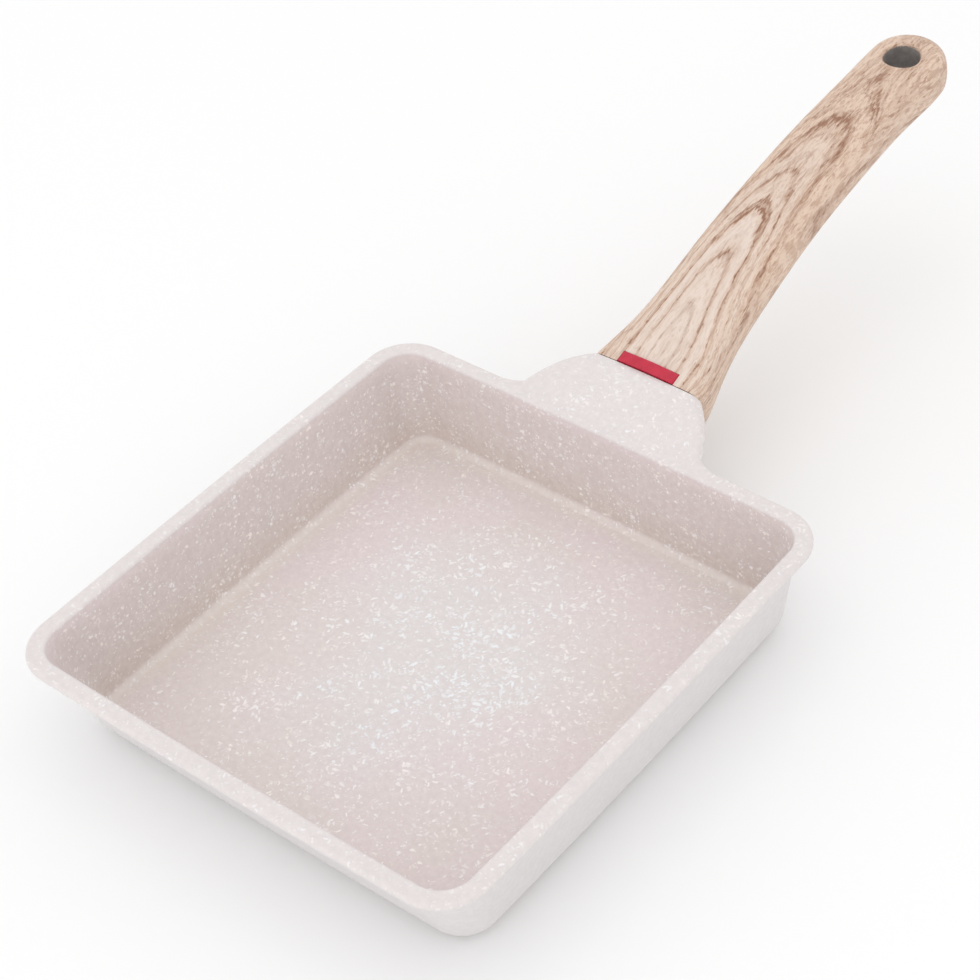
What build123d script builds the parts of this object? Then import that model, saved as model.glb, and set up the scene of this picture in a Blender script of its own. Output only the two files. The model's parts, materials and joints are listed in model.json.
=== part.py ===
from build123d import *
import math
import os

os.makedirs("parts", exist_ok=True)

# A small rectangular omelette pan: a coated aluminium casting with a wide neck, a wood-effect
# handle screwed on from below, a coloured tag in the handle and a steel plate in the base.
# Millimetres. The origin is the middle of the base, +Y runs towards the handle and +Z is up.

# Bowl
rim_inner_width = 150
rim_inner_length = 160
rim_band = 5.3
rim_lip_height = 2.5
rim_overhang = 2.8
pan_height = 36
wall_thickness = 2.5
floor_thickness = 3.6
side_inset = 6.2
front_inset = 13
back_inset = 2.4
rim_bow = 0.7
rim_corner_radius = 9.5
base_corner_radius = 11
base_edge_radius = 8.5
cove_radius = 2.5
rim_outer_edge_radius = 1.2
rim_inner_edge_radius = 1
lip_underside_radius = 1.1

# Neck, cast with the bowl
neck_reach = 20
neck_rise = 6
neck_root_width = 71
neck_root_height = 12.5
neck_root_overlap = 1.5
neck_root_sink = 0.3
neck_root_radius = 1.6
neck_middle_reach = 9
neck_middle_rise = 3.8
neck_middle_width = 64
neck_middle_height = 12.5
neck_middle_radius = 3.4
neck_end_width = 42
neck_end_height = 12.5
neck_end_sink = 7
neck_end_radius = 3.4
neck_plan_fillet = 13
neck_plan_sink = 0.8
neck_plan_end_sink = 4
neck_crown = 0.8
neck_root_draft = 6
neck_end_draft = 3.4
neck_side_bow = 0.5
joint_gap = 0.3

# Tongue behind the neck, inside the handle
tongue_width = 22
tongue_thickness = 6
tongue_length = 27
tongue_lift = 1.5
tongue_edge_radius = 1
tongue_clearance = 0.25

# Handle: a straight root, one long bend and a straight end
handle_length = 161.6
handle_root_width = 40.6
handle_root_height = 16
handle_root_sink = 7
handle_root_radius = 3.8
handle_start_angle = 20
handle_end_angle = 5
grip_width = 28
grip_height = 18
grip_crown = 1.6
grip_side_bow = 1.2
grip_corner_radius = 5.5
hang_hole_radius = 6
hang_hole_setback = 15.8
hang_hole_lip_radius = 1.2

# Root, bend and sections of the handle, as shares of the spine, of the grip's width and of its height.
# A section sinks below the spine towards the joint, and its low end is drafted by a share of that
root_length_share = 0.223
bend_length_share = 0.557
station_shares = (0.06, 0.13, 0.22, 0.36, 0.52, 0.7, 0.84)
width_shares = (1.36, 1.18, 1.08, 1.015, 0.965, 0.94, 0.95)
height_shares = (0.91, 0.94, 0.97, 1, 1, 0.98, 0.96)
sink_shares = (0.25, 0.15, 0.06, 0, 0, 0, 0)
end_width_share = 0.95
end_height_share = 0.96
root_draft_share = 0.55

# Tag in the handle's front edge
tag_width = 20.6
tag_length = 3.9
tag_depth = 1.6
tag_proud = 1
tag_clearance = 0.1
tag_edge_radius = 0.8

# Fixing screw with its washers, and the threaded insert in the tongue
screw_radius = 2
screw_length = 10
screw_setback = 15
screw_head_radius = 4
screw_head_height = 2.6
screw_head_edge_radius = 0.9
driver_slot_width = 1.1
driver_slot_depth = 1.3
screw_hole_radius = 2.3
screw_seat_wall = 2
counterbore_radius = 5
flat_washer_radius = 4.6
flat_washer_thickness = 0.8
spring_washer_radius = 3.7
spring_washer_thickness = 1.1
spring_washer_split = 0.8
washer_bore_radius = 2.15
insert_radius = 3
insert_clearance = 0.05

# Induction plate, with cast studs of the base showing in its holes
plate_width = 112
plate_length = 118
plate_thickness = 0.6
plate_corner_radius = 10
plate_clearance = 0.1
stud_radius = 2
stud_clearance = 0.15
stud_pitch = 14
stud_count = 7

# Places that several pieces share: the rim lies off the base's middle, as its walls lean unevenly
rim_centre = (back_inset - front_inset) / 2
rim_front = rim_centre - rim_inner_length / 2
rim_back = rim_centre + rim_inner_length / 2
rim_outer_back = rim_back + rim_band
lip_bottom = pan_height - rim_lip_height
start_angle = math.radians(handle_start_angle)
end_angle = math.radians(handle_end_angle)
along = Vector(0, math.cos(start_angle), math.sin(start_angle))
upward = Vector(0, -math.sin(start_angle), math.cos(start_angle))
joint_top = Vector(0, rim_outer_back + neck_reach, pan_height + neck_rise)
joint_centre = joint_top - upward * (handle_root_height / 2)
joint_plane = Plane(origin=joint_centre, x_dir=(-1, 0, 0), z_dir=along)
neck_end_plane = Plane(origin=joint_top - upward * (neck_end_height / 2), x_dir=(-1, 0, 0), z_dir=along)
tongue_bottom = tongue_lift - tongue_thickness / 2
screw_seat = tongue_bottom - tongue_clearance - screw_seat_wall


def bowed_outline(plane, half_width, low, high, corner, side_bow, end_bow, draft=0):
    # rounded rectangle on a plane, low to high along the plane's Y, with sides and ends that bow out
    # and a low end narrower by the draft on each side
    middle = (low + high) / 2
    low_half = half_width - draft
    side = half_width - draft / 2 + side_bow
    with BuildSketch(plane) as outline:
        with BuildLine():
            ThreePointArc((-low_half, low), (0, low - end_bow), (low_half, low))
            ThreePointArc((low_half, low), (side, middle), (half_width, high))
            ThreePointArc((half_width, high), (0, high + end_bow), (-half_width, high))
            ThreePointArc((-half_width, high), (-side, middle), (-low_half, low))
        make_face()
        fillet(outline.vertices(), radius=corner)
    return outline.sketch


def bowl_outline(plane, height, out, corner):
    # outline of the bowl at a height, moved out from its inner wall, which leans in towards the base
    lean = 1 - height / pan_height
    half_width = rim_inner_width / 2 - side_inset * lean + out
    front = rim_front + front_inset * lean - out
    back = rim_back - back_inset * lean + out
    return bowed_outline(plane, half_width, front, back, corner, rim_bow, rim_bow)


def crowned_section(plane, width, height, corner, side_bow, crown, draft=0, sink=0):
    # section of the neck or the handle, of full width and height, centred on its plane's origin but
    # for the depth that its low end sinks below that height
    half_height = height / 2 - crown
    half_width = width / 2 - side_bow
    low = -half_height - sink
    return bowed_outline(plane, half_width, low, half_height, corner, side_bow, crown, draft)


def neck_section(reach, top, width, height, corner):
    # upright section of the neck, at a reach behind the rim
    plane = Plane(origin=(0, rim_outer_back + reach, top - height / 2), x_dir=(-1, 0, 0), z_dir=(0, 1, 0))
    return crowned_section(plane, width, height, corner, neck_side_bow, neck_crown / 2, neck_root_draft)


def screw_plane(height):
    # plane across the fixing screw, at a height above the middle of the joint
    origin = joint_centre + along * screw_setback + upward * height
    return Plane(origin=origin, x_dir=(1, 0, 0), z_dir=upward)


with BuildPart() as cavity:
    # space inside the bowl, with a cove round its floor
    floor_plane = Plane.XY.offset(floor_thickness)
    floor_outline = bowl_outline(floor_plane, floor_thickness, 0, base_corner_radius - wall_thickness)
    loft([floor_outline, bowl_outline(Plane.XY.offset(pan_height), pan_height, 0, rim_corner_radius)])
    fillet(cavity.faces().sort_by(Axis.Z)[0].edges(), radius=cove_radius)

with BuildPart() as pan_body:
    # the rim's flange, whose plan takes in the fillets at the neck's root
    with BuildSketch(Plane.XY.offset(lip_bottom)) as lip_plan:
        add(bowl_outline(Plane.XY, pan_height, rim_band, rim_corner_radius + rim_band))
        plan_root = neck_root_width / 2 - neck_plan_sink
        plan_end = neck_middle_width / 2 - neck_plan_end_sink
        with BuildLine():
            Polyline(
                (-plan_root, rim_back),
                (-plan_root, rim_outer_back),
                (-plan_end, rim_outer_back + neck_middle_reach),
                (plan_end, rim_outer_back + neck_middle_reach),
                (plan_root, rim_outer_back),
                (plan_root, rim_back),
                close=True,
            )
        make_face()
        roots = lip_plan.vertices().filter_by(lambda vertex: abs(abs(vertex.X) - plan_root) < rim_bow)
        fillet(roots, radius=neck_plan_fillet)
    extrude(amount=rim_lip_height)
    fillet(pan_body.faces().sort_by(Axis.Z)[-1].edges(), radius=rim_outer_edge_radius)
    fillet(pan_body.faces().sort_by(Axis.Z)[0].edges(), radius=lip_underside_radius)

    # the wall under it
    wall_top = bowl_outline(
        Plane.XY.offset(lip_bottom + lip_underside_radius),
        lip_bottom,
        rim_band - rim_overhang,
        rim_corner_radius + rim_band,
    )
    loft([bowl_outline(Plane.XY, 0, wall_thickness, base_corner_radius), wall_top])
    fillet(pan_body.faces().sort_by(Axis.Z)[0].edges(), radius=base_edge_radius)

    # neck: from a section hidden in the rim to the joint with the handle
    root_top = pan_height - neck_root_sink
    middle_top = pan_height + neck_middle_rise
    neck_sections = [
        neck_section(-neck_root_overlap, root_top, neck_root_width, neck_root_height, neck_root_radius),
        neck_section(
            neck_middle_reach, middle_top, neck_middle_width, neck_middle_height, neck_middle_radius
        ),
        crowned_section(
            neck_end_plane,
            neck_end_width,
            neck_end_height,
            neck_end_radius,
            neck_side_bow,
            neck_crown,
            neck_end_draft,
            neck_end_sink,
        ),
    ]
    loft(neck_sections)

    # cavity, with a rounded inner edge on the rim
    add(cavity.part, mode=Mode.SUBTRACT)
    mouth_reach = rim_inner_length / 2 + rim_bow + rim_inner_edge_radius
    mouth_edges = pan_body.edges().filter_by_position(Axis.Z, pan_height, pan_height, (True, True))
    mouth_edges = mouth_edges.filter_by_position(Axis.Y, rim_centre - mouth_reach, rim_centre + mouth_reach)
    mouth_half = rim_inner_width / 2 + rim_bow + rim_inner_edge_radius
    fillet(mouth_edges.filter_by_position(Axis.X, -mouth_half, mouth_half), radius=rim_inner_edge_radius)

    # tongue for the handle, with the seat of its threaded insert
    with BuildSketch(joint_plane):
        with Locations((0, tongue_lift)):
            RectangleRounded(tongue_width, tongue_thickness, tongue_edge_radius)
    extrude(amount=tongue_length)
    with BuildSketch(screw_plane(tongue_bottom)):
        Circle(insert_radius + insert_clearance)
    extrude(amount=tongue_thickness, mode=Mode.SUBTRACT)

    # recess for the induction plate, with the studs left standing in it
    recess_width = plate_width + 2 * plate_clearance
    recess_length = plate_length + 2 * plate_clearance
    with BuildSketch():
        RectangleRounded(recess_width, recess_length, plate_corner_radius)
        with GridLocations(stud_pitch, stud_pitch, stud_count, stud_count):
            Circle(stud_radius, mode=Mode.SUBTRACT)
    extrude(amount=plate_thickness, mode=Mode.SUBTRACT)

with BuildPart() as induction_plate:
    with BuildSketch():
        RectangleRounded(plate_width, plate_length, plate_corner_radius - plate_clearance)
        with GridLocations(stud_pitch, stud_pitch, stud_count, stud_count):
            Circle(stud_radius + stud_clearance, mode=Mode.SUBTRACT)
    extrude(amount=plate_thickness)

# The handle's spine lies in the plane of symmetry, from the joint to the round end
with BuildLine(Plane.YZ) as spine:
    spine_start = joint_centre + along * joint_gap
    root_length = handle_length * root_length_share
    bend_length = handle_length * bend_length_share
    root_line = PolarLine((spine_start.Y, spine_start.Z), root_length, angle=handle_start_angle)
    bend = JernArc(
        start=root_line @ 1,
        tangent=root_line % 1,
        radius=bend_length / (start_angle - end_angle),
        arc_size=handle_end_angle - handle_start_angle,
    )
    PolarLine(bend @ 1, handle_length - root_length - bend_length, angle=handle_end_angle)
spine_wire = spine.wire()


def spine_plane(share):
    # plane across the spine at a share of its length, its Y pointing up
    return Plane(origin=spine_wire @ share, x_dir=(-1, 0, 0), z_dir=spine_wire % share)


def grip_section(plane, width_share, height_share, sink_share=0):
    sink = grip_height * sink_share
    return crowned_section(
        plane,
        grip_width * width_share,
        grip_height * height_share,
        grip_corner_radius,
        grip_side_bow,
        grip_crown,
        sink * root_draft_share,
        sink,
    )


with BuildPart() as handle:
    # root section, flush with the neck, then the grip's sections, then the round end
    front_plane = spine_plane(0)
    sections = [
        crowned_section(
            front_plane,
            handle_root_width,
            handle_root_height,
            handle_root_radius,
            neck_side_bow,
            neck_crown,
            handle_root_sink * root_draft_share,
            handle_root_sink,
        )
    ]
    section_shares = zip(station_shares, width_shares, height_shares, sink_shares)
    for station_share, width_share, height_share, sink_share in section_shares:
        sections.append(grip_section(spine_plane(station_share), width_share, height_share, sink_share))
    end_radius = grip_width * end_width_share / 2
    end_plane = spine_plane(1 - end_radius / handle_length)
    sections.append(grip_section(end_plane, end_width_share, end_height_share))
    loft(sections)
    with BuildSketch(end_plane):
        add(grip_section(Plane.XY, end_width_share, end_height_share))
        with Locations((grip_width / 2, 0)):
            Rectangle(grip_width, 2 * grip_height, mode=Mode.SUBTRACT)
    revolve(axis=Axis(end_plane.origin, end_plane.y_dir), revolution_arc=180)

    # socket for the tongue, notch for the tag, seat for the fixing screw
    with BuildSketch(front_plane):
        with Locations((0, tongue_lift)):
            Rectangle(tongue_width + 2 * tongue_clearance, tongue_thickness + 2 * tongue_clearance)
    extrude(amount=tongue_length, mode=Mode.SUBTRACT)
    notch_floor = handle_root_height / 2 - tag_depth
    with BuildSketch(front_plane):
        with Locations((0, notch_floor)):
            Rectangle(tag_width + 2 * tag_clearance, grip_height, align=(Align.CENTER, Align.MIN))
    extrude(amount=tag_length + tag_clearance, mode=Mode.SUBTRACT)
    with BuildSketch(screw_plane(tongue_bottom)):
        Circle(screw_hole_radius)
    extrude(amount=-grip_height, mode=Mode.SUBTRACT)
    with BuildSketch(screw_plane(screw_seat)):
        Circle(counterbore_radius)
    extrude(amount=-grip_height, mode=Mode.SUBTRACT)

    # hanging hole with rounded lips
    hole_plane = spine_plane(1 - hang_hole_setback / handle_length)
    with BuildSketch(Plane(origin=hole_plane.origin, x_dir=(1, 0, 0), z_dir=hole_plane.y_dir)):
        Circle(hang_hole_radius)
    extrude(amount=grip_height, both=True, mode=Mode.SUBTRACT)
    hole_wall = handle.faces().filter_by(GeomType.CYLINDER).sort_by(Axis.Y)[-1]
    fillet(hole_wall.edges().filter_by(GeomType.LINE, reverse=True), radius=hang_hole_lip_radius)

with BuildPart() as red_tag:
    # a bar whose crowned top stands a little proud of the handle
    tag_half = tag_width / 2
    tag_top = handle_root_height / 2 + tag_proud
    tag_shoulder = tag_top - neck_crown
    with BuildSketch(front_plane):
        with BuildLine():
            ThreePointArc((-tag_half, tag_shoulder), (0, tag_top), (tag_half, tag_shoulder))
            Polyline(
                (tag_half, tag_shoulder),
                (tag_half, notch_floor),
                (-tag_half, notch_floor),
                (-tag_half, tag_shoulder),
            )
        make_face()
    extrude(amount=tag_length)
    crown_face = red_tag.faces().sort_by(Axis(front_plane.origin, upward))[-1]
    fillet(crown_face.edges().sort_by(Axis(front_plane.origin, along))[1:], radius=tag_edge_radius)

with BuildPart() as threaded_insert:
    with BuildSketch(screw_plane(tongue_bottom)):
        Circle(insert_radius)
        Circle(screw_radius + insert_clearance, mode=Mode.SUBTRACT)
    extrude(amount=tongue_thickness)

# Screw stack, from the seat in the handle down
with BuildPart() as flat_washer:
    with BuildSketch(screw_plane(screw_seat)):
        Circle(flat_washer_radius)
        Circle(washer_bore_radius, mode=Mode.SUBTRACT)
    extrude(amount=-flat_washer_thickness)

with BuildPart() as spring_washer:
    with BuildSketch(screw_plane(screw_seat - flat_washer_thickness)):
        Circle(spring_washer_radius)
        Circle(washer_bore_radius, mode=Mode.SUBTRACT)
        with Locations((spring_washer_radius, 0)):
            Rectangle(2 * spring_washer_radius, spring_washer_split, mode=Mode.SUBTRACT)
    extrude(amount=-spring_washer_thickness)

with BuildPart() as handle_screw:
    # pan head with a cross slot under a plain shank
    head_plane = screw_plane(screw_seat - flat_washer_thickness - spring_washer_thickness)
    with BuildSketch(head_plane):
        Circle(screw_radius)
    extrude(amount=screw_length)
    with BuildSketch(head_plane):
        Circle(screw_head_radius)
    extrude(amount=-screw_head_height)
    head_rim = handle_screw.edges().filter_by(GeomType.CIRCLE).sort_by(Axis(head_plane.origin, upward))[0]
    fillet(head_rim, radius=screw_head_edge_radius)
    with BuildSketch(head_plane.offset(-screw_head_height)):
        Rectangle(driver_slot_width, screw_head_radius)
        Rectangle(screw_head_radius, driver_slot_width)
    extrude(amount=driver_slot_depth, mode=Mode.SUBTRACT)

pieces = {
    "pan_body": pan_body,
    "induction_plate": induction_plate,
    "handle": handle,
    "red_tag": red_tag,
    "threaded_insert": threaded_insert,
    "flat_washer": flat_washer,
    "spring_washer": spring_washer,
    "handle_screw": handle_screw,
}
for name, piece in pieces.items():
    piece.part.label = name
    export_step(piece.part, f"parts/{name}.step")
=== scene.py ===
import json
import math

import bmesh
import bpy
from mathutils import Matrix, Vector


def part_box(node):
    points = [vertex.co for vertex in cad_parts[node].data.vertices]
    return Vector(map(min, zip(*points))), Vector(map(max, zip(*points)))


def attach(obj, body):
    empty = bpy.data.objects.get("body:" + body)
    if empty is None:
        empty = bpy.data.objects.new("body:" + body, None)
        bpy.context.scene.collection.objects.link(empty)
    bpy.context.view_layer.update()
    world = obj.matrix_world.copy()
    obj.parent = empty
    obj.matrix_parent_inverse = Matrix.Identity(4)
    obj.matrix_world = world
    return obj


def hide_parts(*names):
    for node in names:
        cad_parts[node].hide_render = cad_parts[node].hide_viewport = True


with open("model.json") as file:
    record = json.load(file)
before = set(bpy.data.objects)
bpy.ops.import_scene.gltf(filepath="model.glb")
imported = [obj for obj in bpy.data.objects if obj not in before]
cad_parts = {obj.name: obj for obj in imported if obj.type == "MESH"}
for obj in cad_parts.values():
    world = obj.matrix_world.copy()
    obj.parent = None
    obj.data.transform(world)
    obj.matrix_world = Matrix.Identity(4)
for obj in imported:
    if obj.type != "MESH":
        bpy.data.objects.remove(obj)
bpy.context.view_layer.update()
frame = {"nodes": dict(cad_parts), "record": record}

# In the dictionaries below, lengths are in metres. A texture is the scale, detail and roughness of a noise,
# a band is where a mask starts and ends, and a relief is the strength and depth of a bump. A noise mask is
# a texture, the band it is cut to and, where they aren't 0 and 1, the values it gives at the band's ends.
falling = (1.0, 0.0)


# Node helpers

def newMaterial(name):
    material = bpy.data.materials.new(name)
    material.use_nodes = True
    tree = material.node_tree
    surface = next(n for n in tree.nodes if n.type == "BSDF_PRINCIPLED")
    return material, tree, surface


def addNode(tree, kind, values=None, **settings):
    node = tree.nodes.new(kind)
    for key, value in settings.items():
        setattr(node, key, value)
    for key, value in (values or {}).items():
        node.inputs[key].default_value = value
    return node


def feed(tree, socket, value):
    # joins another node's output to a socket, or sets a plain value there
    if hasattr(value, "is_linked"):
        tree.links.new(value, socket)
    else:
        socket.default_value = value


def maths(tree, operation, a, b=0.0, c=0.0, clamp=False):
    node = addNode(tree, "ShaderNodeMath", operation=operation, use_clamp=clamp)
    for socket, value in zip(node.inputs, (a, b, c)):
        feed(tree, socket, value)
    return node.outputs[0]


def hypotenuse(tree, a, b):
    squares = [maths(tree, "POWER", side, 2.0) for side in (a, b)]
    return maths(tree, "SQRT", maths(tree, "ADD", *squares))


def smoothRange(tree, value, low, high, toLow=0.0, toHigh=1.0):
    values = {"From Min": low, "From Max": high, "To Min": toLow, "To Max": toHigh}
    node = addNode(tree, "ShaderNodeMapRange", values, interpolation_type="SMOOTHSTEP")
    tree.links.new(value, node.inputs["Value"])
    return node.outputs["Result"]


def mixColours(tree, factor, first, second):
    node = addNode(tree, "ShaderNodeMix", data_type="RGBA")
    sockets = (node.inputs["Factor"], node.inputs[6], node.inputs[7])
    for socket, value in zip(sockets, (factor, first, second)):
        feed(tree, socket, value)
    return node.outputs[2]


def noise(tree, vector, scale, detail=2.0, roughness=0.5):
    node = addNode(tree, "ShaderNodeTexNoise", {"Scale": scale, "Detail": detail, "Roughness": roughness})
    tree.links.new(vector, node.inputs["Vector"])
    return node


def noiseMask(tree, vector, texture, band, values=(0.0, 1.0)):
    return smoothRange(tree, noise(tree, vector, *texture).outputs[0], *band, *values)


def mapping(tree, vector, location=(0, 0, 0), rotation=(0, 0, 0), scale=(1, 1, 1), kind="POINT"):
    values = {"Location": location, "Rotation": rotation, "Scale": scale}
    node = addNode(tree, "ShaderNodeMapping", values, vector_type=kind)
    tree.links.new(vector, node.inputs["Vector"])
    return node.outputs["Vector"]


def shifted(tree, vector, noiseNode, reach):
    # a vector moved about by a noise, by up to about a quarter of the reach each way
    centred = addNode(tree, "ShaderNodeVectorMath", {1: (0.5, 0.5, 0.5)}, operation="SUBTRACT")
    tree.links.new(noiseNode.outputs["Color"], centred.inputs[0])
    scaled = addNode(tree, "ShaderNodeVectorMath", {1: reach}, operation="MULTIPLY")
    tree.links.new(centred.outputs[0], scaled.inputs[0])
    moved = addNode(tree, "ShaderNodeVectorMath", operation="ADD")
    tree.links.new(vector, moved.inputs[0])
    tree.links.new(scaled.outputs[0], moved.inputs[1])
    return moved.outputs[0]


def ramp(tree, value, reach, stops):
    # a ramp of greys: each stop is a place on the reach and a grey
    node = addNode(tree, "ShaderNodeValToRGB")
    bar = node.color_ramp
    bar.interpolation = "EASE"
    for element, (spot, grey) in zip(bar.elements, (stops[0], stops[-1])):
        element.position = spot / reach
        element.color = (grey, grey, grey, 1)
    for spot, grey in stops[1:-1]:
        bar.elements.new(spot / reach).color = (grey, grey, grey, 1)
    tree.links.new(value, node.inputs["Fac"])
    return node.outputs["Color"]


def objectPlace(tree):
    return addNode(tree, "ShaderNodeTexCoord").outputs["Object"]


def coat(tree, surface, colour, roughness):
    tree.links.new(colour, surface.inputs["Base Color"])
    tree.links.new(roughness, surface.inputs["Roughness"])


def bump(tree, surface, height, strength, distance):
    node = addNode(tree, "ShaderNodeBump", {"Strength": strength, "Distance": distance})
    tree.links.new(height, node.inputs["Height"])
    tree.links.new(node.outputs["Normal"], surface.inputs["Normal"])


# Piece helpers

shading = {
    "mergeDistance": 0.000002,
    "flatWeight": 80,
    # edges that turn by more degrees than this stay sharp
    "sharpAngles": {
        "pan_body": 40,
        "induction_plate": 30,
        "handle": 40,
        "red_tag": 35,
        "threaded_insert": 35,
        "flat_washer": 35,
        "spring_washer": 35,
        "handle_screw": 35,
    },
}


def addObject(name, data):
    item = bpy.data.objects.new(name, data)
    bpy.context.scene.collection.objects.link(item)
    return item


def smoothPiece(node, name):
    # a merged copy of a CAD node with smooth shading and sharp edges only where faces meet at an angle
    sharpAngle = math.radians(shading["sharpAngles"][node])
    bm = bmesh.new()
    bm.from_mesh(frame["nodes"][node].data)
    bmesh.ops.remove_doubles(bm, verts=bm.verts, dist=shading["mergeDistance"])
    for face in bm.faces:
        face.smooth = True
    for edge in bm.edges:
        edge.smooth = len(edge.link_faces) == 2 and edge.calc_face_angle(0) < sharpAngle
    mesh = bpy.data.meshes.new(name)
    bm.to_mesh(mesh)
    bm.free()
    piece = addObject(name, mesh)
    weighted = piece.modifiers.new("flatFirst", "WEIGHTED_NORMAL")
    weighted.keep_sharp = True
    weighted.weight = shading["flatWeight"]
    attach(piece, "root")
    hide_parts(node)
    return piece


# Pan body and base plate

# the bowl to the middle of its wall, which leans in by the insets from the rim down to the base
bowl = {
    "height": 0.036,
    "halfWidth": 0.0762,
    "frontReach": 0.0865,
    "backReach": 0.0759,
    "sideInset": 0.0062,
    "frontInset": 0.013,
    "backInset": 0.0024,
    "corner": 0.0105,
    # bands of height, and bands beyond the middle of the wall
    "footHeights": (0.0012, 0.0030),
    "coveHeights": (0.0042, 0.0058),
    "wallFootHeights": (0.0045, 0.0065),
    "creaseHeights": (0.0060, 0.0190),
    "wallTopHeights": (0.0300, 0.0352),
    "lipHeights": (0.0322, 0.0340),
    "outsideHeights": (0.0330, 0.0352),
    "rimHeights": (0.0345, 0.0358),
    "coveReach": (-0.0072, -0.0030),
    "wallReach": (-0.0003, 0.0003),
    "lipReach": (0.0, 0.0015),
}
coating = {
    "pink": (0.715, 0.625, 0.625, 1),
    "beige": (0.700, 0.625, 0.602, 1),
    "coolGrey": (0.700, 0.662, 0.660, 1),
    # the inner walls' colour: a beiger tint, darkened as painted shade
    "wallTintAndShade": (0.637, 0.562, 0.542, 1),
    # the cove's colour: a warmer tint, lightened as a painted lit band along the floor's edge
    "coveTintAndLight": (0.750, 0.675, 0.618, 1),
    # painted shade: darker and browner low on the inner wall, by the crease
    "paintedCreaseShade": (0.615, 0.520, 0.460, 1),
    "outerGrey": (0.690, 0.675, 0.680, 1),
    # the rim's colour: a greyer tint, a little lighter as painted light on the top
    "rimTintAndLight": (0.705, 0.660, 0.655, 1),
    "fleckCream": (0.93, 0.87, 0.84, 1),
    "fleckCool": (0.87, 0.90, 0.93, 1),
    # how far each colour covers the one below it, at the most
    "covers": {
        "coolGrey": 0.85,
        "wallTintAndShade": 0.75,
        "paintedCreaseShade": 0.45,
        "coveTintAndLight": 0.55,
        "rimTintAndLight": 0.85,
        "outerGrey": 0.80,
    },
    "blush": ((20, 3, 0.55), (0.40, 0.62)),
    "cloud": ((520, 3, 0.65), (0.3, 0.7), (0.0, 0.20)),
    "roughness": ((60, 3), (0.3, 0.7), (0.34, 0.46)),
    "specular": 0.4,
    # the middle of the floor: its border's texture and sway, its proportions and the band where it ends
    "borderTexture": (24, 3, 0.6),
    "borderSway": (0.075, 0.075, 0.0),
    "middleShape": (1.0, 0.85, 0.3),
    "middleBand": (0.016, 0.054),
    # how large the flecks grow: everywhere, then more in patches and the middle, and less outside
    "leastGrowth": 0.58,
    "patches": ((70, 3, 0.65), (0.36, 0.64)),
    "patchGrowth": 0.34,
    "middleGrowth": 0.22,
    "outsideLoss": 0.45,
    # cells per metre, greatest radius in cells, seed, direction, proportions
    "fleckLayers": [
        (600, 0.46, 0.00, 0.3, (1.9, 0.8, 1.0)),
        (660, 0.46, 0.13, 1.2, (2.2, 0.8, 1.0)),
        (620, 0.46, 0.31, 2.1, (2.0, 0.7, 1.0)),
        (560, 0.44, 0.47, 2.8, (1.7, 0.8, 1.0)),
        (1050, 0.50, 0.59, 0.9, (1.3, 0.9, 1.0)),
        (300, 0.26, 0.71, 1.7, (1.2, 0.9, 1.0)),
    ],
    "fleckTexture": (1000, 3),
    "fleckSway": (0.0014, 0.0014, 0.0014),
    "fleckRarity": 2.0,
    "fleckEdge": (-0.08, 0.15),
    "faintestFleck": 0.30,
    "fleckVariety": 0.70,
    # how cool the flecks are, and how far they cover the ground
    "chill": ((110, 1), (0.40, 0.60), (0.0, 0.6)),
    "middleChill": 0.5,
    "fleckCover": 0.95,
    "outsideFade": 0.4,
    "rimFade": 0.22,
    "grainTexture": (1500, 2),
    "fleckHeight": 0.6,
    "relief": (0.25, 0.00006),
}
steel = {
    "light": (0.60, 0.60, 0.61, 1),
    "dark": (0.42, 0.42, 0.43, 1),
    # proportions of the brushed hairs and least roughness
    "plateSteel": ((0.08, 1, 1), 0.3),
    "fixingSteel": ((1, 1, 0.2), 0.26),
    "hairTexture": (900, 4, 0.7),
    "hairShade": 0.7,
    "stain": ((45, 4, 0.6), (0.35, 0.7), (0.0, 0.5)),
    "roughnessBand": (0.25, 0.75),
    "roughnessSpread": 0.16,
    "relief": (0.2, 0.00003),
}


def bowlMasks(tree, place):
    # the height, how far a point is beyond the middle of the bowl's wall, and a mask of the bowl's outside
    parts = addNode(tree, "ShaderNodeSeparateXYZ")
    tree.links.new(place, parts.inputs[0])
    x, y, z = parts.outputs
    lean = maths(tree, "MULTIPLY_ADD", z, -1 / bowl["height"], 1.0)
    side = maths(tree, "MULTIPLY_ADD", lean, bowl["sideInset"], maths(tree, "ABSOLUTE", x))
    side = maths(tree, "ADD", side, -bowl["halfWidth"])
    frontWall = maths(tree, "MULTIPLY_ADD", lean, bowl["frontInset"], -bowl["frontReach"])
    backWall = maths(tree, "MULTIPLY_ADD", lean, bowl["backInset"], -bowl["backReach"])
    end = maths(tree, "MAXIMUM", maths(tree, "SUBTRACT", frontWall, y), maths(tree, "ADD", backWall, y))

    # the distance is rounded at the corners
    side = maths(tree, "ADD", side, bowl["corner"])
    end = maths(tree, "ADD", end, bowl["corner"])
    rounded = hypotenuse(tree, maths(tree, "MAXIMUM", side, 0.0), maths(tree, "MAXIMUM", end, 0.0))
    inner = maths(tree, "MINIMUM", maths(tree, "MAXIMUM", side, end), 0.0)
    beyond = maths(tree, "ADD", maths(tree, "ADD", rounded, inner), -bowl["corner"])

    outside = maths(
        tree,
        "MULTIPLY",
        smoothRange(tree, beyond, *bowl["wallReach"]),
        smoothRange(tree, z, *bowl["outsideHeights"], *falling),
    )
    outside = maths(tree, "MAXIMUM", outside, smoothRange(tree, z, *bowl["footHeights"], *falling))
    return z, beyond, outside


def middleMask(tree, place):
    # the middle of the floor, with a ragged border
    borderNoise = noise(tree, place, *coating["borderTexture"])
    ragged = shifted(tree, place, borderNoise, coating["borderSway"])
    spread = addNode(tree, "ShaderNodeVectorMath", operation="LENGTH")
    tree.links.new(mapping(tree, ragged, scale=coating["middleShape"]), spread.inputs[0])
    return smoothRange(tree, spread.outputs["Value"], *coating["middleBand"], *falling)


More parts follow.
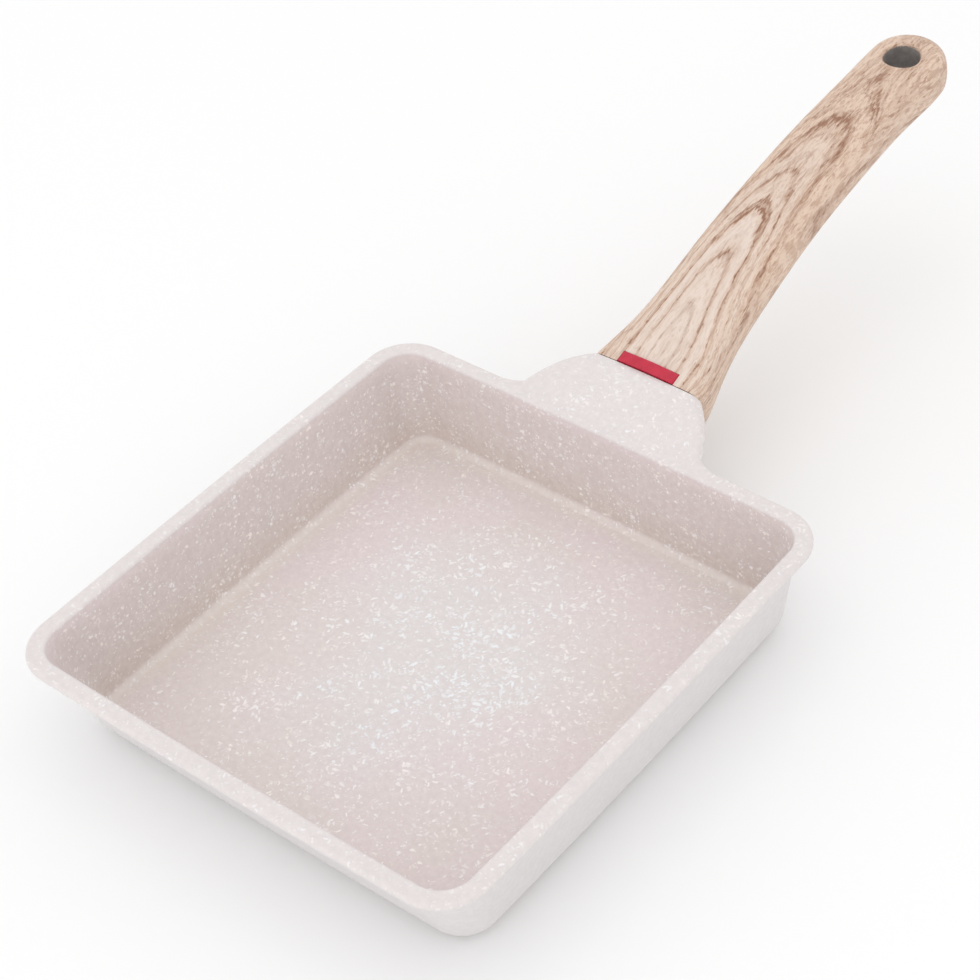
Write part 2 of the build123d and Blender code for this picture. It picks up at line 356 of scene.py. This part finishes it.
def fleckMask(tree, place, middle, outside):
    # each layer's flecks lie one way and grow with the random value of their cell
    fleckPlace = shifted(tree, place, noise(tree, place, *coating["fleckTexture"]), coating["fleckSway"])
    patches = noiseMask(tree, place, *coating["patches"])
    growth = maths(tree, "MULTIPLY_ADD", patches, coating["patchGrowth"], coating["leastGrowth"])
    growth = maths(tree, "MULTIPLY_ADD", middle, coating["middleGrowth"], growth)
    kept = maths(tree, "MULTIPLY_ADD", outside, -coating["outsideLoss"], 1.0)
    growth = maths(tree, "MULTIPLY", growth, kept)
    flecks = None
    for scale, reach, seed, angle, stretch in coating["fleckLayers"]:
        turned = mapping(tree, fleckPlace, (seed, seed, seed), (0, 0, angle), stretch, "TEXTURE")
        cells = addNode(tree, "ShaderNodeTexVoronoi", {"Scale": scale, "Randomness": 1.0})
        tree.links.new(turned, cells.inputs["Vector"])
        chances = addNode(tree, "ShaderNodeSeparateColor")
        tree.links.new(cells.outputs["Color"], chances.inputs[0])
        sizeChance, lightChance = chances.outputs[0], chances.outputs[1]
        size = maths(tree, "MULTIPLY", maths(tree, "POWER", sizeChance, coating["fleckRarity"]), reach)
        edge = maths(tree, "SUBTRACT", maths(tree, "MULTIPLY", size, growth), cells.outputs["Distance"])
        shape = smoothRange(tree, edge, *coating["fleckEdge"])
        light = maths(tree, "MULTIPLY_ADD", lightChance, coating["fleckVariety"], coating["faintestFleck"])
        layer = maths(tree, "MULTIPLY", shape, light)
        flecks = layer if flecks is None else maths(tree, "MAXIMUM", flecks, layer)
    return flecks


def stoneCoating():
    # pale coating with short cream and cool flecks, denser and cooler towards the middle of the floor
    material, tree, surface = newMaterial("stoneCoating")
    place = objectPlace(tree)
    z, beyond, outside = bowlMasks(tree, place)
    middle = middleMask(tree, place)
    flecks = fleckMask(tree, place, middle, outside)

    inside = maths(tree, "SUBTRACT", 1.0, outside)
    aboveCove = smoothRange(tree, z, *bowl["wallFootHeights"])
    belowRim = smoothRange(tree, z, *bowl["wallTopHeights"], *falling)
    # the inner wall, which gets a beiger tint darkened as painted shade
    onWall = maths(tree, "MULTIPLY", maths(tree, "MULTIPLY", aboveCove, belowRim), inside)
    # low on the inner wall, which gets painted shade by the crease
    nearCrease = maths(tree, "MULTIPLY", onWall, smoothRange(tree, z, *bowl["creaseHeights"], *falling))
    # the cove along the floor's edge, which gets a warmer tint lightened as a painted lit band
    nearWall = smoothRange(tree, beyond, *bowl["coveReach"])
    onCove = maths(tree, "MULTIPLY", nearWall, smoothRange(tree, z, *bowl["coveHeights"], *falling))
    # the rim's top and lip, which get a greyer tint lightened as painted light
    lipHeight = smoothRange(tree, z, *bowl["lipHeights"])
    rimEdge = maths(tree, "MULTIPLY", lipHeight, smoothRange(tree, beyond, *bowl["lipReach"]))
    onRim = maths(tree, "MAXIMUM", rimEdge, smoothRange(tree, z, *bowl["rimHeights"]))

    ground = mixColours(tree, noiseMask(tree, place, *coating["blush"]), coating["beige"], coating["pink"])
    for mask, name in (
        (middle, "coolGrey"),
        (onWall, "wallTintAndShade"),
        (nearCrease, "paintedCreaseShade"),
        (onCove, "coveTintAndLight"),
        (onRim, "rimTintAndLight"),
        (outside, "outerGrey"),
    ):
        cover = maths(tree, "MULTIPLY", mask, coating["covers"][name])
        ground = mixColours(tree, cover, ground, coating[name])
    ground = mixColours(tree, noiseMask(tree, place, *coating["cloud"]), ground, coating["fleckCream"])

    chill = noiseMask(tree, place, *coating["chill"])
    chill = maths(tree, "MULTIPLY_ADD", middle, coating["middleChill"], chill, clamp=True)
    fleckColour = mixColours(tree, chill, coating["fleckCream"], coating["fleckCool"])
    shown = maths(tree, "MULTIPLY_ADD", outside, -coating["outsideFade"], coating["fleckCover"])
    shown = maths(tree, "MULTIPLY_ADD", onRim, -coating["rimFade"], shown)
    shown = maths(tree, "MULTIPLY", flecks, shown)
    colour = mixColours(tree, shown, ground, fleckColour)
    coat(tree, surface, colour, noiseMask(tree, place, *coating["roughness"]))
    surface.inputs["Specular IOR Level"].default_value = coating["specular"]
    grain = noise(tree, place, *coating["grainTexture"]).outputs[0]
    height = maths(tree, "MULTIPLY_ADD", flecks, coating["fleckHeight"], grain)
    bump(tree, surface, height, *coating["relief"])
    return material


def brushedSteel(name):
    stretch, roughness = steel[name]
    material, tree, surface = newMaterial(name)
    place = objectPlace(tree)
    hair = noise(tree, mapping(tree, place, scale=stretch), *steel["hairTexture"]).outputs[0]
    stain = noiseMask(tree, place, *steel["stain"])
    shade = maths(tree, "MULTIPLY_ADD", hair, steel["hairShade"], stain, clamp=True)
    colour = mixColours(tree, shade, steel["light"], steel["dark"])
    roughest = roughness + steel["roughnessSpread"]
    coat(tree, surface, colour, smoothRange(tree, hair, *steel["roughnessBand"], roughness, roughest))
    surface.inputs["Metallic"].default_value = 1.0
    bump(tree, surface, hair, *steel["relief"])
    return material


def makePan():
    pan = smoothPiece("pan_body", "panBody")
    pan.data.materials.append(stoneCoating())
    plate = smoothPiece("induction_plate", "basePlate")
    plate.data.materials.append(brushedSteel("plateSteel"))
    print("pan body and base plate: done")


# Handle and tag

grip = {
    "pale": (0.765, 0.650, 0.570, 1),
    "tan": (0.765, 0.595, 0.475, 1),
    "brown": (0.560, 0.370, 0.265, 1),
    "dark": (0.300, 0.148, 0.088, 1),
    # the spine from its start in Y and Z: a straight run, a bend and a second straight run, with the
    # slopes of the two runs in degrees
    "start": (0.103018, 0.034585),
    "bendStart": 0.036037,
    "bendLength": 0.090011,
    "startAngle": 20.0,
    "endAngle": 5.0,
    # the rings' axis: its slope to the grip, its depth at the joint, a shift and a squash across
    "ringSlope": 0.13,
    "ringSink": 0.0095,
    "ringShift": -0.0006,
    "ringSquash": 1.05,
    # the grain spreads with the flare at the joint, and its arches grow rarer towards the tip
    "flare": 0.48,
    "flareReach": 0.024,
    "flareFall": 3,
    "archEnd": 0.122,
    "archRest": 0.35,
    # rings by their radius in mm, and how dark they are
    "rings": [
        (0.0, 0.18), (1.9, 0.0), (2.55, 0.34), (3.1, 0.0), (4.9, 0.05), (5.45, 0.55), (5.8, 0.10), (7.6, 0.0),
        (8.1, 0.08), (8.42, 1.0), (8.65, 0.35), (8.95, 0.70), (9.25, 0.05), (10.4, 0.10), (10.8, 0.75),
        (11.1, 0.12), (12.2, 0.05), (12.6, 0.40), (12.85, 0.12), (13.1, 0.35), (13.36, 1.0), (13.7, 0.35),
        (14.1, 0.06), (15.0, 0.08), (15.15, 0.60), (15.35, 0.10), (15.6, 0.65), (15.8, 0.12), (16.1, 0.40),
        (16.5, 0.06), (17.0, 0.40), (17.6, 0.05),
    ],
    # the ground between them by the same radius, from pale to tan
    "grounds": [
        (0.0, 0.0), (4.0, 0.08), (5.6, 0.50), (6.7, 0.0), (7.5, 0.05), (8.4, 0.80), (9.8, 0.40), (10.7, 0.75),
        (11.5, 0.42), (12.4, 0.75), (13.2, 1.0), (24.0, 1.0),
    ],
    "ringReach": 25.0,
    # noises drawn out along the grip: their scale along it, then their texture
    "broadNoise": (0.5, (38, 1)),
    "broadSway": (0.005, 0.012, 0.002),
    "jaggedNoise": (0.3, (520, 3)),
    "jaggedSway": (0.0008, 0.006, 0.0),
    "frayNoise": (0.08, (1500, 2, 0.6)),
    "fray": 0.0011,
    "fibreNoise": (0.045, (2200, 3, 0.65)),
    "streakBand": (0.38, 0.64),
    "poreNoise": (0.26, (1500, 2, 0.55)),
    "poreBand": (0.57, 0.66),
    "fadeNoise": (0.4, (150, 3, 0.6)),
    "fadeBand": (0.36, 0.60),
    # fine lines that follow the rings: their scale through the rings, along the grip and across it
    "flow": (1.0, 0.05, 0.30),
    "lines": ((3000, 3, 0.7), (0.48, 0.60)),
    "sparseLines": ((1250, 2, 0.6), (0.55, 0.64)),
    # how strongly each mark shows, first on pale ground and then what tan ground adds
    "leastLife": 0.30,
    "tanLife": 0.70,
    "streakWarmth": 0.20,
    "lineWarmth": 0.60,
    "lineDark": 0.12,
    "sparseDark": 0.40,
    "leastPore": 0.10,
    "tanPore": 0.16,
    "ringPore": 0.50,
    # how dark the rings are where they fade, what is added where they don't, and their loss at the sides
    "fadedRing": 0.58,
    "ringGain": 0.50,
    "sideBand": (0.0050, 0.0120),
    "sideValues": (1.0, 0.50),
    "roughness": ((0.3, 0.7), (0.42, 0.55)),
    "specular": 0.4,
    "markDepth": 0.7,
    "relief": (0.2, 0.00008),
}
core = {
    "grey": (0.19, 0.172, 0.160, 1),
    "lightGrey": (0.30, 0.275, 0.26, 1),
    "shade": ((240, 4, 0.65), (0.3, 0.7)),
    "roughness": (0.5, 0.62),
    "grainTexture": (2600, 2),
    "relief": (0.2, 0.00005),
    # the bores it shows in: their radii with a little to spare, and how far they reach above the middle
    "holeRadius": 0.00605,
    "screwRadius": 0.00505,
    "boreReach": 0.008,
}
tag = {
    "red": (0.56, 0.026, 0.058, 1),
    "deepRed": (0.36, 0.012, 0.034, 1),
    "shade": ((420, 3), (0.3, 0.7), (0.0, 0.4)),
    "roughness": ((900, 2), (0.3, 0.7), (0.38, 0.50)),
    "specular": 0.35,
    "grainTexture": (3200, 2),
    "relief": (0.15, 0.00004),
}


def spineLengths(point):
    # across, along and above the grip's bent spine
    steep, slight = math.radians(grip["startAngle"]), math.radians(grip["endAngle"])
    y, z = point.y - grip["start"][0], point.z - grip["start"][1]
    cosine, sine = math.cos(steep), math.sin(steep)
    along = y * cosine + z * sine
    if along < grip["bendStart"]:
        return Vector((point.x, along, z * cosine - y * sine))
    radius = grip["bendLength"] / (steep - slight)
    bendY = grip["bendStart"] * cosine + radius * sine
    bendZ = grip["bendStart"] * sine - radius * cosine
    turn = math.atan2(y - bendY, z - bendZ) + steep
    if turn < steep - slight:
        height = math.hypot(y - bendY, z - bendZ) - radius
        return Vector((point.x, grip["bendStart"] + radius * turn, height))
    cosine, sine = math.cos(slight), math.sin(slight)
    y -= bendY - radius * sine
    z -= bendZ + radius * cosine
    along = grip["bendStart"] + grip["bendLength"] + y * cosine + z * sine
    return Vector((point.x, along, z * cosine - y * sine))


def gripLengths(point):
    # the spine's lengths, narrowed across at the flare, so that the grain spreads there
    across, along, height = spineLengths(point)
    widening = grip["flare"] / (1 + (max(along, 0) / grip["flareReach"]) ** grip["flareFall"])
    return Vector((across / (1 + widening), along, height))


def drawnNoise(tree, place, lengthScale, texture):
    return noise(tree, mapping(tree, place, scale=(1, lengthScale, 1)), *texture)


def woodEffect():
    # printed cathedral grain: rings about an axis that sinks slowly under the grip, in the grip's own lengths
    material, tree, surface = newMaterial("woodEffect")
    place = addNode(tree, "ShaderNodeAttribute", attribute_name="gripPlace").outputs["Vector"]
    swayed = shifted(tree, place, drawnNoise(tree, place, *grip["broadNoise"]), grip["broadSway"])
    swayed = shifted(tree, swayed, drawnNoise(tree, place, *grip["jaggedNoise"]), grip["jaggedSway"])
    parts = addNode(tree, "ShaderNodeSeparateXYZ")
    tree.links.new(swayed, parts.inputs[0])
    sideways, along, above = parts.outputs
    across = maths(tree, "MULTIPLY_ADD", sideways, grip["ringSquash"], grip["ringShift"])
    slow = maths(tree, "MULTIPLY_ADD", along, grip["archRest"], grip["archEnd"] * (1 - grip["archRest"]))
    reached = maths(tree, "MINIMUM", along, slow)
    depth = maths(tree, "MULTIPLY_ADD", reached, grip["ringSlope"], above)
    depth = maths(tree, "ADD", depth, -grip["ringSink"])

    # fibres along the grip fray each ring's edge
    fray = drawnNoise(tree, place, *grip["frayNoise"]).outputs[0]
    frayed = maths(tree, "SUBTRACT", fray, 0.5)
    ring = maths(tree, "MULTIPLY_ADD", frayed, grip["fray"], hypotenuse(tree, across, depth))
    ringShare = maths(tree, "MULTIPLY", ring, 1000 / grip["ringReach"])
    rings = ramp(tree, ringShare, grip["ringReach"], grip["rings"])
    tone = ramp(tree, ringShare, grip["ringReach"], grip["grounds"])

    # fine lines follow the rings, and streaks and short pores follow the fibres
    flow = addNode(tree, "ShaderNodeCombineXYZ")
    for socket, source, stretch in zip(flow.inputs, (ring, along, sideways), grip["flow"]):
        tree.links.new(maths(tree, "MULTIPLY", source, stretch), socket)
    lines = noiseMask(tree, flow.outputs[0], *grip["lines"])
    sparse = noiseMask(tree, flow.outputs[0], *grip["sparseLines"])
    fibres = drawnNoise(tree, place, *grip["fibreNoise"]).outputs[0]
    streaks = smoothRange(tree, fibres, *grip["streakBand"])
    pores = smoothRange(tree, drawnNoise(tree, place, *grip["poreNoise"]).outputs[0], *grip["poreBand"])
    fade = smoothRange(tree, drawnNoise(tree, place, *grip["fadeNoise"]).outputs[0], *grip["fadeBand"])

    wood = mixColours(tree, tone, grip["pale"], grip["tan"])
    life = maths(tree, "MULTIPLY_ADD", tone, grip["tanLife"], grip["leastLife"])
    warmth = maths(tree, "MULTIPLY", lines, grip["lineWarmth"])
    warmth = maths(tree, "MULTIPLY_ADD", streaks, grip["streakWarmth"], warmth)
    wood = mixColours(tree, maths(tree, "MULTIPLY", warmth, life, clamp=True), wood, grip["brown"])

    fromMiddle = maths(tree, "ABSOLUTE", across)
    nearSide = smoothRange(tree, fromMiddle, *grip["sideBand"], *grip["sideValues"])
    rings = maths(tree, "MULTIPLY", rings, nearSide)
    ringDark = maths(tree, "MULTIPLY_ADD", fade, grip["ringGain"], grip["fadedRing"])
    darkness = maths(tree, "MULTIPLY", rings, ringDark)
    for marks, strength in ((lines, grip["lineDark"]), (sparse, grip["sparseDark"])):
        darkness = maths(tree, "MULTIPLY_ADD", maths(tree, "MULTIPLY", marks, life), strength, darkness)
    poreDark = maths(tree, "MULTIPLY_ADD", tone, grip["tanPore"], grip["leastPore"])
    poreDark = maths(tree, "MULTIPLY_ADD", rings, grip["ringPore"], poreDark)
    darkness = maths(tree, "MULTIPLY_ADD", pores, poreDark, darkness, clamp=True)
    wood = mixColours(tree, darkness, wood, grip["dark"])

    roughBand, roughValues = grip["roughness"]
    coat(tree, surface, wood, smoothRange(tree, fibres, *roughBand, *roughValues))
    surface.inputs["Specular IOR Level"].default_value = grip["specular"]
    bump(tree, surface, maths(tree, "MULTIPLY_ADD", darkness, -grip["markDepth"], fibres), *grip["relief"])
    return material


def gripCore():
    # bare grey plastic where the print doesn't reach: the hanging hole and the screw's bore
    material, tree, surface = newMaterial("gripCore")
    place = objectPlace(tree)
    shade = noiseMask(tree, place, *core["shade"])
    colour = mixColours(tree, shade, core["grey"], core["lightGrey"])
    coat(tree, surface, colour, smoothRange(tree, shade, 0.0, 1.0, *core["roughness"]))
    bump(tree, surface, noise(tree, place, *core["grainTexture"]).outputs[0], *core["relief"])
    return material


def redPlastic():
    material, tree, surface = newMaterial("redPlastic")
    place = objectPlace(tree)
    colour = mixColours(tree, noiseMask(tree, place, *tag["shade"]), tag["red"], tag["deepRed"])
    coat(tree, surface, colour, noiseMask(tree, place, *tag["roughness"]))
    surface.inputs["Specular IOR Level"].default_value = tag["specular"]
    bump(tree, surface, noise(tree, place, *tag["grainTexture"]).outputs[0], *tag["relief"])
    return material


def makeHandle():
    handle = smoothPiece("handle", "woodHandle")
    lengths = handle.data.attributes.new("gripPlace", "FLOAT_VECTOR", "POINT")
    for index, vertex in enumerate(handle.data.vertices):
        lengths.data[index].vector = gripLengths(vertex.co)
    handle.data.materials.append(woodEffect())
    handle.data.materials.append(gripCore())
    hole = next(m for m in frame["record"]["mounts"] if m["name"] == "hanging_hole")
    screwLow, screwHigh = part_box("flat_washer")
    screwPlace = (Vector(screwLow) + Vector(screwHigh)) / 2
    startAngle = math.radians(grip["startAngle"])
    screwAxis = Vector((0, -math.sin(startAngle), math.cos(startAngle)))
    bores = [
        (Vector(hole["pos_m"]), Vector(hole["axis"]), core["holeRadius"]),
        (screwPlace, screwAxis, core["screwRadius"]),
    ]
    for face in handle.data.polygons:
        for origin, axis, radius in bores:
            offset = face.center - origin
            rise = offset.dot(axis)
            if rise < core["boreReach"] and (offset - axis * rise).length < radius:
                face.material_index = 1
    insert = smoothPiece("red_tag", "redTag")
    insert.data.materials.append(redPlastic())
    print("handle and tag: done")


# Fixings inside the handle

fixings = {
    "threaded_insert": "threadedInsert",
    "flat_washer": "flatWasher",
    "spring_washer": "springWasher",
    "handle_screw": "handleScrew",
}


def makeFixings():
    fixingSteel = brushedSteel("fixingSteel")
    for node, name in fixings.items():
        piece = smoothPiece(node, name)
        piece.data.materials.append(fixingSteel)
    print("fixings: done")


# Room, lamps and camera

room = {
    "floorSize": 6.0,
    "floorColour": (0.93, 0.93, 0.93, 1),
    "floorGrey": (0.86, 0.86, 0.86, 1),
    "floorShade": ((3, 2), (0.3, 0.7), (0.0, 0.04)),
    "floorRoughness": 0.8,
    "floorSpecular": 0.1,
    "skyColour": (1.0, 1.0, 1.0, 1),
    "skyStrength": 0.99,
    # white lamps, all turned to one target: place, width and height, watts
    "lampTarget": (0, 0.03, 0.03),
    "lamps": {
        "topLamp": ((0.0, 0.0, 1.8), (1.6, 1.6), 2.6),
        "frontLamp": ((0.35, -1.6, 0.55), (1.8, 0.8), 3.5),
    },
}
# the photo's viewpoint, with the lens and the sensor in mm
camera = {
    "place": (0.34538, -0.34886, 0.51214),
    "right": (0.777615, 0.624409, -0.073683),
    "up": (-0.379142, 0.559171, 0.737278),
    "back": (0.501564, -0.545382, 0.671559),
    "lens": 89.45,
    "sensor": 36,
    "nearest": 0.01,
    "viewTransform": "Standard",
}


def floorPaint():
    material, tree, surface = newMaterial("floorPaint")
    shade = noiseMask(tree, objectPlace(tree), *room["floorShade"])
    colour = mixColours(tree, shade, room["floorColour"], room["floorGrey"])
    tree.links.new(colour, surface.inputs["Base Color"])
    surface.inputs["Roughness"].default_value = room["floorRoughness"]
    surface.inputs["Specular IOR Level"].default_value = room["floorSpecular"]
    return material


def makeRoom():
    bm = bmesh.new()
    bmesh.ops.create_grid(bm, x_segments=1, y_segments=1, size=room["floorSize"] / 2)
    mesh = bpy.data.meshes.new("floor")
    bm.to_mesh(mesh)
    bm.free()
    floor = addObject("floor", mesh)
    floor.data.materials.append(floorPaint())
    world = bpy.data.worlds.new("paleRoom")
    bpy.context.scene.world = world
    world.use_nodes = True
    sky = next(n for n in world.node_tree.nodes if n.type == "BACKGROUND")
    sky.inputs["Color"].default_value = room["skyColour"]
    sky.inputs["Strength"].default_value = room["skyStrength"]
    for name, (place, size, power) in room["lamps"].items():
        light = bpy.data.lights.new(name, "AREA")
        light.shape = "RECTANGLE"
        light.size, light.size_y = size
        light.energy = power
        lamp = addObject(name, light)
        lamp.location = place
        aim = Vector(room["lampTarget"]) - Vector(place)
        lamp.rotation_euler = aim.to_track_quat("-Z", "Y").to_euler()
    print("room and lights: done")


def makeCamera():
    data = bpy.data.cameras.new("photoCamera")
    data.lens = camera["lens"]
    data.sensor_width = camera["sensor"]
    data.clip_start = camera["nearest"]
    eye = addObject("photoCamera", data)
    turn = Matrix((camera["right"], camera["up"], camera["back"])).transposed().to_4x4()
    eye.matrix_world = Matrix.Translation(camera["place"]) @ turn
    bpy.context.scene.camera = eye
    bpy.context.scene.view_settings.view_transform = camera["viewTransform"]
    print("camera: done")


makeCamera()
makePan()
makeHandle()
makeFixings()
makeRoom()
